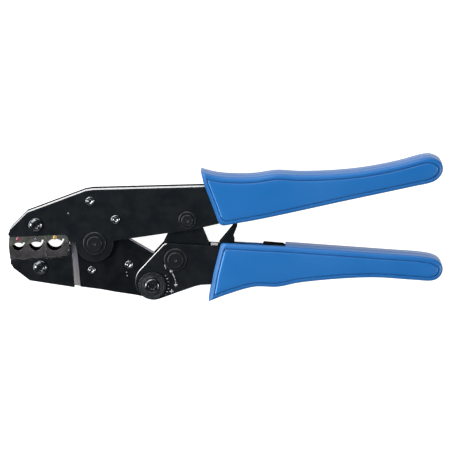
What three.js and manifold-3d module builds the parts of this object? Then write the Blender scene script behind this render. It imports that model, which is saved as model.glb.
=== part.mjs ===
// Ratchet crimping tool for insulated terminals, in millimetres.
//
// The tool lies on its side. X runs from the jaws to the handle ends, Y across the handles
// and Z through the thickness. The origin is on the axis of the main pivot, at the level of
// the surface that the tool lies on. The jaws are closed, as the ratchet leaves them.
//
// Through the thickness the tool is a sandwich: a core layer in the middle, one side plate on
// each side of it, and the moulded grips around the tails of the plates.

import * as THREE from 'three';
import Module from 'manifold-3d';
import { mergeVertices } from 'three/addons/utils/BufferGeometryUtils.js';

const wasm = await Module();
wasm.setup();

// ---------------------------------------------------------------- driving dimensions

// Clearances
const GAP = 0.3; // between pieces that touch or slide on each other
const LINK_PLAY = 0.85; // round the toggle pin, in the link
const TOOTH_PLAY = 0.9; // between the ratchet teeth and the pawl

// Layers
const CORE_T = 6.0; // frame core, moving jaw lever, toggle link
const PLATE_T = 2.4; // one side plate of the frame or of the lower handle
const JAW_PLATE_T = 1.1; // one riveted plate on the moving jaw lever
const GRIP_WALL = 2.0; // grip over the outside of a plate
const WASHER_T = 0.6;
const PIN_HEAD_T = 0.9;
const PIN_BACK_T = 1.3; // riveted heads at the back
const RIVET_HEAD_T = 0.5;
const CORNER = 0.3; // chamfer on turned heads

// Pivots
const HANDLE_PIVOT = [29.5, -22.1];
const LINK_PIVOT = [47.6, 12.1];
const TOGGLE_PIVOT = [41.5, -8.6];
const PAWL_PIVOT = [67.6, -7.0];
const SPRING_POST = [25.8, 20.4];
const LINK_TAIL = [46.0, 20.4];

// Jaws and dies
const JAW_REACH = 44.3; // nose to main pivot
const DIE_INNER_X = -13.4; // inner end of the dies
const DIE_HEAD_T = 10.4;
const DIE_TAIL_T = 4.6;
const DIE_SLOPE = 0.077; // rise of the parting line per millimetre
const PARTING_Y = 1.8; // parting line above the main pivot
const POCKET_R = 3.0; // inner corners of the die pocket
const NESTS = [
  { fromNose: 5.1, half: 3.1, up: 1.3, down: 2.9, horn: 1.2 },
  { fromNose: 14.2, half: 3.6, up: 1.1, down: 3.6, horn: 1.9 },
  { fromNose: 23.9, half: 4.5, up: 1.9, down: 4.3, horn: 1.6 },
];
const RIB_FROM_NOSE = 19.2; // raised line between the second and third nests

// Hubs, pins and screws
const FRAME_HUB_R = 9.7;
const JAW_HUB_R = 10.1;
const JAW_EYE_R = 7.3;
const HANDLE_END_R = 9.3;
const MAIN_PIN_R = 3.0;
const MAIN_HEAD_R = 3.85;
const MAIN_WASHER_R = 5.9;
const MAIN_FOOT_R = 6.2;
const LINK_PIN_R = 2.2;
const LINK_HEAD_R = 3.0;
const LINK_COLLAR_R = 4.5;
const TOGGLE_PIN_R = 3.1;
const TOGGLE_HEAD_R = 4.05;
const TOGGLE_COLLAR_R = 5.9;
const ADJUSTER_PIN_R = 3.0;
const ADJUSTER_FLANGE_R = 5.0;
const ADJUSTER_BORE_R = 1.6;
const ADJUSTER_SCREW_R = 3.8;
const ADJUSTER_SCREW_T = 1.0;
const ADJUSTER_THREAD = 5.0; // length of the screw below its head
const ADJUSTER_SOCKET_R = 1.9;
const WHEEL_R = 7.3;
const WHEEL_T = 1.1;
const WHEEL_TEETH = 15;
const WHEEL_TOOTH = 0.8; // depth of a notch
const WHEEL_STAND = 0.3; // bush above the disc
const DIE_SCREW_R = 2.0;
const DIE_SCREW_HEAD_R = 3.8;
const DIE_SCREW_HEAD_T = 1.5;
const DIE_SOCKET_R = 1.75;
const DIE_SOCKET_DEPTH = 1.1;
const RIVET_R = 1.5;
const RIVET_HEAD_R = 2.3;
const PAWL_PIN_R = 1.8;
const POST_R = 1.2;
const COIL_WALL = 0.8; // coil of the return spring to the side plates
const RETURN_WIRE_R = 0.5;
const PAWL_WIRE_R = 0.4;
const SPRING_HOOK = 3.2;

// Toggle link and ratchet
const LINK_TOP_R = 5.5;
const LINK_LOW_R = 9.0;
const RATCHET_R = 19.0;
const RATCHET_TOOTH = 1.1; // depth of a tooth
const RATCHET_PITCH = 4.0; // degrees
const RATCHET_TEETH = 10;

// Grips
const GRIP_FRONT_X = 66.0;
const GRIP_LENGTH = 112.9;
const TAIL_LENGTH = 64.0; // plates inside the grips
const GRIP_EDGE = 1.3; // rounding of the long edges
const CHANNEL_END_X = 98.2; // slot along the inner side of the lower grip
const CHANNEL_START_X = 63.0;
const CHANNEL_FLOOR_Y = -6.2;
const ANCHOR = { from: 86.6, to: 97.8, low: -13.6 }; // block for the pawl spring
const HANDLE_RIVETS = [[92.2, -10.0], [118.0, -11.0]];
const PAWL_HEEL_X = 74.2; // back face of the pawl, where its spring presses
const PAWL_SPRING_Y = -5.5;

// ---------------------------------------------------------------- worked out from them

const PLATE_IN = CORE_T / 2 + GAP;
const PLATE_OUT = PLATE_IN + PLATE_T;
const GRIP_HALF = PLATE_OUT + GAP + GRIP_WALL;
const NOSE_X = -JAW_REACH;
const TAIL_X = GRIP_FRONT_X + TAIL_LENGTH;
const JAW_TONGUE_HALF = CORE_T / 2 - JAW_PLATE_T - GAP;
const SEAT = PLATE_OUT + GAP; // where heads and washers sit
const BACK_LOW = -SEAT - PIN_BACK_T;
const ABOVE_GRIP_Y = 4.0; // past the inner side of the lower grip
const UPPER_SCREW = [NOSE_X + 14.2, 9.5];
const LOWER_SCREW = [NOSE_X + 16.4, -12.7];
const FRAME_RIVETS = [[-2.1, 22.0], [10.8, 12.4]];
const JAW_RIVETS = [[-1.6, -14.5], [17.5, -11.7]];
const degrees = THREE.MathUtils.degToRad;
const partingAt = (x) => PARTING_Y + DIE_SLOPE * x;

// ---------------------------------------------------------------- solids

// A closed three.js geometry as a solid that can be joined and cut.
function solid(geometry) {
  geometry.deleteAttribute('normal');
  geometry.deleteAttribute('uv');
  const merged = mergeVertices(geometry, 1e-4);
  return new wasm.Manifold(new wasm.Mesh({
    numProp: 3,
    vertProperties: new Float32Array(merged.attributes.position.array),
    triVerts: new Uint32Array(merged.index.array),
  }));
}

function geometryOf(body) {
  const mesh = body.getMesh();
  const geometry = new THREE.BufferGeometry();
  geometry.setAttribute('position', new THREE.BufferAttribute(mesh.vertProperties, 3));
  geometry.setIndex(new THREE.BufferAttribute(mesh.triVerts, 1));
  geometry.computeVertexNormals();
  return geometry;
}

function outline(points) {
  return new THREE.Shape(points.map(([x, y]) => new THREE.Vector2(x, y)));
}

// A flat plate of the given outline between two levels, with its edges rounded by bevel.
function plate(shape, low, high, bevel = 0, curveSegments = 8) {
  const geometry = new THREE.ExtrudeGeometry(shape, {
    depth: high - low - 2 * bevel,
    bevelEnabled: bevel > 0,
    bevelThickness: bevel,
    bevelSize: bevel,
    bevelOffset: -bevel,
    bevelSegments: 2,
    curveSegments,
  });
  geometry.translate(0, 0, low + bevel);
  return solid(geometry);
}

function disc(radius, low, high, [x, y] = [0, 0], segments = 24) {
  const geometry = new THREE.CylinderGeometry(radius, radius, high - low, segments);
  geometry.rotateX(Math.PI / 2);
  geometry.translate(x, y, (low + high) / 2);
  return solid(geometry);
}

// A turned piece: the profile lists radius and level from the low end to the high end.
function turned(profile, segments = 20) {
  const points = profile.map(([radius, level]) => new THREE.Vector2(radius, level));
  const geometry = new THREE.LatheGeometry(points, segments);
  geometry.rotateX(Math.PI / 2);
  return solid(geometry);
}

function bar(x0, x1, y0, y1, low, high) {
  const geometry = new THREE.BoxGeometry(x1 - x0, y1 - y0, high - low);
  geometry.translate((x0 + x1) / 2, (y0 + y1) / 2, (low + high) / 2);
  return solid(geometry);
}

// An outline moved outwards by a clearance. The points run anticlockwise.
function grown(points, clearance) {
  return points.map((point, i) => {
    const before = points[(i + points.length - 1) % points.length];
    const after = points[(i + 1) % points.length];
    const a = point.clone().sub(before).normalize();
    const b = after.clone().sub(point).normalize();
    const out = new THREE.Vector2(a.y + b.y, -a.x - b.x).normalize();
    const stretch = Math.max(0.5, out.dot(new THREE.Vector2(a.y, -a.x)));
    return point.clone().addScaledVector(out, clearance / stretch);
  });
}

function outlinePoints(shape, divisions) {
  const points = shape.getPoints(divisions);
  const last = points[points.length - 1];
  if (last.distanceTo(points[0]) < 1e-6) points.pop();
  return points;
}

function drilled(body, radius, centre, segments = 20) {
  return body.subtract(disc(radius, -GRIP_HALF, GRIP_HALF, centre, segments));
}

// ---------------------------------------------------------------- finishes and placing

const FINISH = {
  blackSteel: { color: 0x23272e, roughness: 0.42, metalness: 0.6 },
  brightSteel: { color: 0xc9ccd0, roughness: 0.3, metalness: 1.0 },
  dieSteel: { color: 0x6f7176, roughness: 0.45, metalness: 0.9 },
  blueGrip: { color: 0x1f74bd, roughness: 0.35, metalness: 0.0 },
};

const tool = new THREE.Group();
tool.position.z = GRIP_HALF;

function assembly() {
  const group = new THREE.Group();
  tool.add(group);
  return group;
}

function place(group, name, body, finish, [x, y] = [0, 0], z = 0) {
  const mesh = new THREE.Mesh(geometryOf(body), new THREE.MeshStandardMaterial(FINISH[finish]));
  mesh.name = name;
  mesh.position.set(x, y, z);
  group.add(mesh);
}

const frame = assembly();
const movingJaw = assembly();
const lowerHandle = assembly();
const linkGroup = assembly();
const pawlGroup = assembly();
const adjuster = assembly();

// ---------------------------------------------------------------- frame plates and core

// The upper edge, from the nose to the grip, is shared by the plates and the core.
const TOP_EDGE = [
  [NOSE_X + 1.1, 6.8], [NOSE_X + 9.7, 15.5], [-4.6, 26.8], [-0.6, 27.4], [28.3, 28.1],
  [58.0, 29.0],
];
const FRAME_TAIL_TOP = [[76.0, 27.0], [TAIL_X, 33.0]];
const FRAME_TAIL_END_Y = 26.6;

function framePlateShape() {
  const shape = new THREE.Shape();
  const hubStart = degrees(174.6);
  const hubEnd = degrees(368);
  shape.moveTo(NOSE_X + 0.8, 3.2);
  shape.lineTo(DIE_INNER_X + GAP - POCKET_R, 4.5);
  shape.absarc(DIE_INNER_X + GAP - POCKET_R, 4.5 - POCKET_R, POCKET_R, Math.PI / 2, 0, true);
  shape.lineTo(-12.2, -0.5);
  shape.lineTo(FRAME_HUB_R * Math.cos(hubStart), FRAME_HUB_R * Math.sin(hubStart));
  shape.absarc(0, 0, FRAME_HUB_R, hubStart, hubEnd, false);
  for (const [x, y] of [[16.3, 2.1], [38.2, 5.3], [55.1, 8.1], [63.7, 10.1], [68.0, 13.2]]) {
    shape.lineTo(x, y);
  }
  shape.lineTo(TAIL_X, FRAME_TAIL_END_Y);
  for (const [x, y] of [...FRAME_TAIL_TOP].reverse()) shape.lineTo(x, y);
  for (const [x, y] of [...TOP_EDGE].reverse()) shape.lineTo(x, y);
  shape.lineTo(NOSE_X, 4.6);
  return shape;
}

function framePlate() {
  let body = plate(framePlateShape(), PLATE_IN, PLATE_OUT);
  body = drilled(body, DIE_SCREW_R + GAP, UPPER_SCREW);
  body = drilled(body, MAIN_PIN_R + GAP, [0, 0]);
  body = drilled(body, LINK_PIN_R + GAP, LINK_PIVOT);
  for (const centre of FRAME_RIVETS) body = drilled(body, RIVET_R + GAP, centre, 16);
  return body;
}

// The core fills the frame except where the die tail, the jaw lever, the return spring and the
// toggle link move or sit.
const DIE_TAIL = { from: NOSE_X + 5.8, to: NOSE_X + 22.8, top: 13.0, low: -17.2 };

function frameCore() {
  const shape = new THREE.Shape();
  const openAngle = degrees(69);
  const clearR = JAW_HUB_R + 2 * GAP;
  const reach = 17; // length of the straight edge over the open jaw lever
  shape.moveTo(TOP_EDGE[0][0], TOP_EDGE[0][1]);
  shape.lineTo(DIE_TAIL.from - GAP, TOP_EDGE[0][1]);
  shape.lineTo(DIE_TAIL.from - GAP, 10.4);
  shape.lineTo(DIE_TAIL.from + 3.4, DIE_TAIL.top + GAP);
  shape.lineTo(DIE_TAIL.to + GAP, DIE_TAIL.top + GAP);
  shape.lineTo(DIE_TAIL.to + GAP, 6.2);
  shape.lineTo(-15.4, 6.2);
  shape.absarc(0, 0, clearR, degrees(160), openAngle, true);
  shape.lineTo(
    clearR * Math.cos(openAngle) + reach * Math.sin(openAngle),
    clearR * Math.sin(openAngle) - reach * Math.cos(openAngle),
  );
  const rest = [
    [22.0, 17.0], [22.0, 24.4], [54.0, 25.0], [62.0, 20.6], [70.0, 17.4],
    [TAIL_X - 30, 25.4], [TAIL_X - 30, 28.2], [76.0, 26.4],
  ];
  for (const [x, y] of rest) shape.lineTo(x, y);
  for (const [x, y] of [...TOP_EDGE].reverse()) shape.lineTo(x, y);
  let body = plate(shape, -CORE_T / 2, CORE_T / 2);
  for (const centre of FRAME_RIVETS) body = drilled(body, RIVET_R + GAP, centre, 16);
  return body;
}

const framePlateBody = framePlate();
place(frame, 'frame_plate_front', framePlateBody, 'blackSteel');
place(frame, 'frame_plate_rear', framePlateBody, 'blackSteel', [0, 0], -PLATE_IN - PLATE_OUT);
place(frame, 'frame_core', frameCore(), 'brightSteel');

// ---------------------------------------------------------------- rivets, pins and screws

// A rivet with a low domed head on each side of a stack of the given half thickness.
function rivet(radius, headR, half) {
  const seat = half + GAP;
  const top = seat + RIVET_HEAD_T;
  return turned([
    [0, -top], [headR * 0.6, -top], [headR, -seat], [radius, -seat],
    [radius, seat], [headR, seat], [headR * 0.6, top], [0, top],
  ], 16);
}

FRAME_RIVETS.forEach((centre, i) => {
  const body = rivet(RIVET_R, RIVET_HEAD_R, PLATE_OUT);
  place(frame, ['frame_rivet_fore', 'frame_rivet_mid'][i], body, 'blackSteel', centre);
});

// A pivot pin: a flat head over a washer at the front, and a riveted head at the back.
function pin(radius, headR, washerT, backR, backLow) {
  const seat = SEAT + washerT + (washerT > 0 ? GAP : 0);
  const top = seat + PIN_HEAD_T;
  return turned([
    [0, backLow], [backR - CORNER, backLow], [backR, backLow + CORNER], [backR, -SEAT],
    [radius, -SEAT], [radius, seat], [headR, seat], [headR, top - CORNER],
    [headR - CORNER, top], [0, top],
  ]);
}

function washer(radius, hole) {
  const top = SEAT + WASHER_T;
  const body = turned([
    [0, SEAT], [radius, SEAT], [radius, top - CORNER], [radius - CORNER, top], [0, top],
  ]);
  return drilled(body, hole, [0, 0]);
}

place(frame, 'main_pivot_pin', pin(MAIN_PIN_R, MAIN_HEAD_R, WASHER_T, MAIN_FOOT_R, -GRIP_HALF),
  'blackSteel');
place(frame, 'main_pivot_washer', washer(MAIN_WASHER_R, MAIN_PIN_R + GAP), 'blackSteel');

place(frame, 'link_pin', pin(LINK_PIN_R, LINK_HEAD_R, WASHER_T, LINK_COLLAR_R, BACK_LOW),
  'blackSteel', LINK_PIVOT);
place(frame, 'link_pin_collar', washer(LINK_COLLAR_R, LINK_PIN_R + GAP), 'blackSteel',
  LINK_PIVOT);
place(lowerHandle, 'toggle_pin',
  pin(TOGGLE_PIN_R, TOGGLE_HEAD_R, WASHER_T, TOGGLE_COLLAR_R, BACK_LOW), 'blackSteel',
  TOGGLE_PIVOT);
place(lowerHandle, 'toggle_pin_collar', washer(TOGGLE_COLLAR_R, TOGGLE_PIN_R + GAP),
  'blackSteel', TOGGLE_PIVOT);

// A die screw: a domed head with a hexagon socket at the front and its nut at the back.
function dieScrew() {
  const r = DIE_SCREW_HEAD_R;
  const top = SEAT + DIE_SCREW_HEAD_T;
  const nutR = r * 0.95;
  const body = turned([
    [0, -top], [nutR - CORNER, -top], [nutR, -top + CORNER], [nutR, -SEAT],
    [DIE_SCREW_R, -SEAT], [DIE_SCREW_R, SEAT], [r, SEAT], [r, SEAT + DIE_SCREW_HEAD_T / 3],
    [r * 0.8, top - CORNER], [r * 0.5, top], [0, top],
  ]);
  return body.subtract(disc(DIE_SOCKET_R, top - DIE_SOCKET_DEPTH, top + 1, [0, 0], 6));
}

place(frame, 'upper_die_screw', dieScrew(), 'blackSteel', UPPER_SCREW);
place(movingJaw, 'lower_die_screw', dieScrew(), 'blackSteel', LOWER_SCREW);

// ---------------------------------------------------------------- dies

// The opening of one nest: a shallow arch above the parting line, a trough below it and a
// narrow slit at each end, the taller one towards the pivot.
function nestOpening({ fromNose, half, up, down, horn }) {
  const x = NOSE_X + fromNose;
  const y = partingAt(x);
  const rise = DIE_SLOPE * half;
  const shape = new THREE.Shape();
  shape.moveTo(x - half, y - rise);
  shape.quadraticCurveTo(x - half * 0.72, y - down, x, y - down);
  shape.quadraticCurveTo(x + half * 0.72, y - down, x + half, y + rise);
  shape.lineTo(x + half + 0.35, y + rise + horn);
  shape.lineTo(x + half - 0.45, y + rise + horn);
  shape.lineTo(x + half - 0.95, y + rise + 0.35);
  shape.quadraticCurveTo(x + half * 0.5, y + up, x, y + up);
  shape.quadraticCurveTo(x - half * 0.5, y + up, x - half + 0.8, y - rise + 0.3);
  shape.lineTo(x - half - 0.1, y - rise + 0.9);
  return plate(shape, -DIE_HEAD_T, DIE_HEAD_T, 0, 6);
}

// One die: a head as wide as the jaws with a thinner tail that the screw clamps. The two heads
// meet on the parting line.
function die(side) {
  const edge = (x) => partingAt(x) + (side * GAP) / 2;
  const inner = DIE_INNER_X;
  const shape = new THREE.Shape();
  if (side > 0) {
    shape.moveTo(NOSE_X + 0.2, edge(NOSE_X));
    shape.lineTo(inner, edge(inner));
    shape.absarc(inner + GAP - POCKET_R, 4.5 - POCKET_R, POCKET_R - GAP, 0, Math.PI / 2, false);
    shape.lineTo(NOSE_X + 0.5, 2.9);
  } else {
    shape.moveTo(NOSE_X + 0.2, edge(NOSE_X));
    shape.lineTo(NOSE_X + 0.9, -8.6);
    shape.lineTo(inner - POCKET_R, -6.9);
    shape.absarc(inner - POCKET_R, -6.9 + POCKET_R, POCKET_R, -Math.PI / 2, 0, false);
    shape.lineTo(inner, edge(inner));
  }
  let body = plate(shape, -DIE_HEAD_T / 2, DIE_HEAD_T / 2);
  const end = side > 0 ? DIE_TAIL.top : DIE_TAIL.low;
  const root = side > 0 ? 2.5 : -6.5;
  const tail = outline([
    [DIE_TAIL.from, root], [DIE_TAIL.from, end - side * 3.4], [DIE_TAIL.from + 3.6, end],
    [DIE_TAIL.to, end], [DIE_TAIL.to, root],
  ]);
  body = body.add(plate(tail, -DIE_TAIL_T / 2, DIE_TAIL_T / 2));
  const ribX = NOSE_X + RIB_FROM_NOSE;
  const ribFrom = side > 0 ? edge(ribX) : -7.1;
  const ribTo = side > 0 ? 3.7 : edge(ribX);
  const ribLevel = DIE_HEAD_T / 2;
  body = body.add(bar(ribX - 0.35, ribX + 0.35, ribFrom, ribTo, ribLevel - 0.5, ribLevel + 0.3));
  for (const nest of NESTS) body = body.subtract(nestOpening(nest));
  return drilled(body, DIE_SCREW_R + GAP, side > 0 ? UPPER_SCREW : LOWER_SCREW);
}

place(frame, 'upper_die', die(1), 'dieSteel');
place(movingJaw, 'lower_die', die(-1), 'dieSteel');

// ---------------------------------------------------------------- moving jaw

// The lever runs from the main pivot to the handle pivot. Its upper edge touches the hub circle.
function leverShape(leftTop, leftLow) {
  const tangent = degrees(59.5);
  const eyeStart = degrees(250);
  const eyeEnd = degrees(395);
  const [eyeX, eyeY] = HANDLE_PIVOT;
  const shape = new THREE.Shape();
  shape.moveTo(...leftLow);
  for (const [x, y] of [[3.1, -24.8], [11.3, -26.3], [20.0, -27.6]]) shape.lineTo(x, y);
  shape.absarc(eyeX, eyeY, JAW_EYE_R, eyeStart, eyeEnd, false);
  shape.lineTo(30.7, -6.4);
  shape.absarc(0, 0, JAW_HUB_R, tangent, degrees(176), false);
  shape.lineTo(...leftTop);
  return shape;
}

function lowerJaw() {
  const head = new THREE.Shape();
  const wallX = DIE_INNER_X + GAP; // side of the pocket at the inner end of the die
  head.moveTo(NOSE_X + 1.1, -8.9);
  head.lineTo(NOSE_X + 1.1, -10.6);
  head.lineTo(NOSE_X + 2.7, -13.2);
  head.lineTo(NOSE_X + 10.9, -19.6);
  head.lineTo(-10.5, -23.2);
  head.lineTo(-11.9, -1.6);
  head.lineTo(wallX, -1.6);
  head.lineTo(wallX, -7.2 + POCKET_R);
  head.absarc(wallX - POCKET_R, -7.2 + POCKET_R, POCKET_R, 0, -Math.PI / 2, true);
  let body = plate(head, -PLATE_OUT, PLATE_OUT);
  const forkHalf = DIE_TAIL_T / 2 + GAP;
  body = body.subtract(bar(NOSE_X - 1, DIE_TAIL.to + GAP, DIE_TAIL.low - GAP, 0,
    -forkHalf, forkHalf));
  const tongue = leverShape([-12.5, -2.6], [-11.0, -22.9]);
  body = body.add(plate(tongue, -JAW_TONGUE_HALF, JAW_TONGUE_HALF, 0, 9));
  body = drilled(body, DIE_SCREW_R + GAP, LOWER_SCREW);
  return leverHoles(body);
}

function leverHoles(body) {
  let bored = drilled(body, MAIN_PIN_R + GAP, [0, 0]);
  bored = drilled(bored, ADJUSTER_PIN_R + GAP, HANDLE_PIVOT);
  for (const centre of JAW_RIVETS) bored = drilled(bored, RIVET_R + GAP, centre, 16);
  return bored;
}

function jawPlate() {
  const shape = leverShape([-8.9, -6.9], [-7.5, -23.4]);
  return leverHoles(plate(shape, CORE_T / 2 - JAW_PLATE_T, CORE_T / 2, 0, 9));
}

const jawPlateBody = jawPlate();
place(movingJaw, 'lower_jaw', lowerJaw(), 'brightSteel');
place(movingJaw, 'jaw_side_plate_front', jawPlateBody, 'blackSteel');
place(movingJaw, 'jaw_side_plate_rear', jawPlateBody, 'blackSteel', [0, 0],
  JAW_PLATE_T - CORE_T);

JAW_RIVETS.forEach((centre, i) => {
  const body = rivet(RIVET_R, RIVET_HEAD_R - 0.2, CORE_T / 2);
  place(movingJaw, ['jaw_rivet_fore', 'jaw_rivet_aft'][i], body, 'blackSteel', centre);
});

// ---------------------------------------------------------------- lower handle

function handlePlateShape() {
  const [x, y] = [HANDLE_PIVOT[0] + 0.7, HANDLE_PIVOT[1] + 1.6];
  const shape = new THREE.Shape();
  shape.absarc(x, y, HANDLE_END_R, degrees(139.7), degrees(288.2), false);
  const edge = [
    [44.2, -25.2], [51.6, -22.6], [54.7, -21.9], [61.0, -21.6], [78.0, -18.4],
    [TAIL_X, -15.6], [TAIL_X, -8.4], [78.0, -5.2], [66.2, -4.8], [63.9, -1.7],
    [38.0, -0.2], [35.6, -0.9],
  ];
  for (const [px, py] of edge) shape.lineTo(px, py);
  return shape;
}

function handlePlate() {
  let body = plate(handlePlateShape(), PLATE_IN, PLATE_OUT, 0, 9);
  body = drilled(body, ADJUSTER_PIN_R + GAP, HANDLE_PIVOT);
  body = drilled(body, TOGGLE_PIN_R + GAP, TOGGLE_PIVOT);
  body = drilled(body, PAWL_PIN_R + GAP, PAWL_PIVOT, 24);
  for (const centre of HANDLE_RIVETS) body = drilled(body, RIVET_R + GAP, centre, 16);
  return body;
}

// The spacer bar closes the stack at the front of the grip, and the anchor block holds the
// pawl spring further back. Both are riveted between the plates.
const handlePlateBody = handlePlate();
place(lowerHandle, 'handle_plate_front', handlePlateBody, 'blackSteel');
place(lowerHandle, 'handle_plate_rear', handlePlateBody, 'blackSteel', [0, 0],
  -PLATE_IN - PLATE_OUT);

const spacerBar = plate(outline([[60.9, -3.4], [63.4, -3.6], [63.4, -1.5], [59.6, -1.3]]),
  -CORE_T / 2, CORE_T / 2);
place(lowerHandle, 'handle_spacer', spacerBar, 'brightSteel');

let anchorBlock = plate(outline([
  [ANCHOR.from, ANCHOR.low], [ANCHOR.to, ANCHOR.low], [ANCHOR.to, -2.0], [ANCHOR.to - 0.8, -1.4],
  [ANCHOR.from + 0.6, -0.6], [ANCHOR.from, -1.2],
]), -CORE_T / 2, CORE_T / 2);
anchorBlock = drilled(anchorBlock, RIVET_R + GAP, HANDLE_RIVETS[0], 16);
place(lowerHandle, 'spring_anchor', anchorBlock, 'blackSteel');

let tailCore = plate(outline([
  [104.0, -14.6], [TAIL_X - 2, -13.6], [TAIL_X - 2, -10.0], [104.0, -8.6],
]), -CORE_T / 2, CORE_T / 2);
tailCore = drilled(tailCore, RIVET_R + GAP, HANDLE_RIVETS[1], 16);
place(lowerHandle, 'handle_core', tailCore, 'brightSteel');

HANDLE_RIVETS.forEach((centre, i) => {
  const body = disc(RIVET_R, -PLATE_OUT, PLATE_OUT, [0, 0], 20);
  place(lowerHandle, ['handle_rivet_fore', 'handle_rivet_aft'][i], body, 'brightSteel', centre);
});

const pawlPin = disc(PAWL_PIN_R, -PLATE_OUT, PLATE_OUT, [0, 0], 24);
place(lowerHandle, 'pawl_pin', pawlPin, 'brightSteel', PAWL_PIVOT);

// ---------------------------------------------------------------- grips

const gripX = (share) => GRIP_FRONT_X + share * GRIP_LENGTH;
const gripPoint = ([share, y]) => new THREE.Vector2(gripX(share), y);

// Upper grip: straight lower edge, full round end, and a finger hollow behind the front.
function upperGripShape() {
  const shape = new THREE.Shape();
  shape.moveTo(63.9, 10.4);
  shape.lineTo(65.6, 9.4);
  shape.lineTo(gripX(0.86), 29.2);
  shape.splineThru([
    [0.93, 31.0], [0.975, 34.0], [1.0, 38.4], [0.985, 42.6], [0.945, 44.9], [0.9, 44.6],
    [0.79, 41.2], [0.645, 38.0], [0.499, 36.3], [0.353, 35.8], [0.244, 36.4], [0.15, 34.9],
    [0.06, 34.6], [-0.03, 35.4],
  ].map(gripPoint));
  shape.lineTo(54.4, 37.6);
  shape.lineTo(55.9, 31.4);
  shape.lineTo(60.4, 19.7);
  return shape;
}

// Lower grip: a pointed guard at the front and a hollow for the fingers behind it.
function lowerGripShape() {
  const shape = new THREE.Shape();
  shape.moveTo(64.4, -1.9);
  shape.lineTo(61.2, -14.8);
  shape.lineTo(58.6, -29.9);
  shape.splineThru([
    [0.02, -25.6], [0.14, -22.2], [0.25, -22.3], [0.353, -20.0], [0.535, -18.0], [0.7, -17.4],
    [0.86, -18.6], [0.955, -19.1], [0.993, -16.0], [0.997, -11.4], [0.965, -8.0], [0.89, -6.4],
    [0.755, -5.3],
  ].map(gripPoint));
  shape.lineTo(gripX(0.317), -1.7);
  shape.lineTo(66.4, 0.3);
  return shape;
}

// A grip is one moulding with a pocket that fits the tails of the plates.
function grip(shape, plateShape) {
  const body = plate(shape, -GRIP_HALF, GRIP_HALF, GRIP_EDGE, 3);
  const pocket = new THREE.Shape(grown(outlinePoints(plateShape, 8), GAP));
  return body.subtract(plate(pocket, -SEAT, SEAT));
}

place(frame, 'upper_grip', grip(upperGripShape(), framePlateShape()), 'blueGrip');

const channelLow = outline([
  [CHANNEL_START_X, CHANNEL_FLOOR_Y], [CHANNEL_END_X, CHANNEL_FLOOR_Y],
  [CHANNEL_END_X, ABOVE_GRIP_Y], [CHANNEL_START_X, ABOVE_GRIP_Y],
]);
const anchorRoom = outline([
  [ANCHOR.from - GAP, ANCHOR.low - GAP], [ANCHOR.to + GAP, ANCHOR.low - GAP],
  [ANCHOR.to + GAP, 0], [ANCHOR.from - GAP, 0],
]);
const rearNotch = outline([
  [CHANNEL_START_X + 5, -1.6], [CHANNEL_END_X, -3.0], [CHANNEL_END_X, ABOVE_GRIP_Y],
  [CHANNEL_START_X + 5, ABOVE_GRIP_Y],
]);
const lowerGrip = grip(lowerGripShape(), handlePlateShape())
  .subtract(plate(channelLow, -SEAT, SEAT))
  .subtract(plate(anchorRoom, -PLATE_IN, PLATE_IN))
  .subtract(plate(rearNotch, -GRIP_HALF - 1, 0));
place(lowerHandle, 'lower_grip', lowerGrip, 'blueGrip');

// ---------------------------------------------------------------- toggle link with ratchet

// The link hangs from the frame, spreads to a sector round the toggle pin, and carries the
// ratchet teeth on its outer edge.
function toggleLink() {
  const [topX, topY] = LINK_PIVOT;
  const [lowX, lowY] = TOGGLE_PIVOT;
  const onSector = (angle, radius) => [
    lowX + radius * Math.cos(degrees(angle)), lowY + radius * Math.sin(degrees(angle)),
  ];
  const lastTooth = 6 - RATCHET_TEETH * RATCHET_PITCH;
  const shape = new THREE.Shape();
  shape.absarc(topX, topY, LINK_TOP_R, degrees(22), degrees(154), false);
  shape.absarc(lowX, lowY, LINK_LOW_R, degrees(154), degrees(300), false);
  shape.lineTo(...onSector(lastTooth, RATCHET_R - RATCHET_TOOTH));
  for (let i = 0; i < RATCHET_TEETH; i += 1) {
    const angle = lastTooth + i * RATCHET_PITCH;
    shape.lineTo(...onSector(angle + RATCHET_PITCH * 0.5, RATCHET_R));
    shape.lineTo(...onSector(angle + RATCHET_PITCH, RATCHET_R - RATCHET_TOOTH));
  }
  shape.lineTo(...onSector(9, RATCHET_R - 2.2));
  shape.lineTo(...onSector(20, RATCHET_R - 2.2));
  shape.lineTo(...onSector(24, RATCHET_R));
  shape.lineTo(...onSector(28, RATCHET_R));
  let body = plate(shape, -CORE_T / 2, CORE_T / 2);
  const tail = outline([
    [topX - 5.0, topY + 2], [topX + 2.5, topY + 4], [LINK_TAIL[0] + 2.0, LINK_TAIL[1] + 1.6],
    [LINK_TAIL[0] - 0.6, LINK_TAIL[1] + 2.2], [LINK_TAIL[0] - 2.0, LINK_TAIL[1] + 1.0],
  ]);
  body = body.add(plate(tail, -1.2, 1.2));
  body = drilled(body, LINK_PIN_R + GAP, LINK_PIVOT);
  return drilled(body, TOGGLE_PIN_R + LINK_PLAY, TOGGLE_PIVOT);
}

place(linkGroup, 'toggle_link', toggleLink(), 'blackSteel');

// Return spring between the post in the frame and the tail of the link, hooks included.
place(frame, 'spring_post', disc(POST_R, -CORE_T / 2, CORE_T / 2, [0, 0], 20), 'brightSteel',
  SPRING_POST);

function springSolid(length, coilR, wireR) {
  const coilFrom = SPRING_HOOK + wireR;
  return turned([
    [0, 0], [wireR, 0], [wireR, SPRING_HOOK], [coilR, coilFrom], [coilR, length - coilFrom],
    [wireR, length - SPRING_HOOK], [wireR, length], [0, length],
  ], 10);
}

function placeSpring(group, name, body, [x, y], angle) {
  place(group, name, body, 'brightSteel', [x, y]);
  const mesh = group.children[group.children.length - 1];
  mesh.rotation.set(0, Math.PI / 2, angle, 'ZYX');
}

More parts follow.
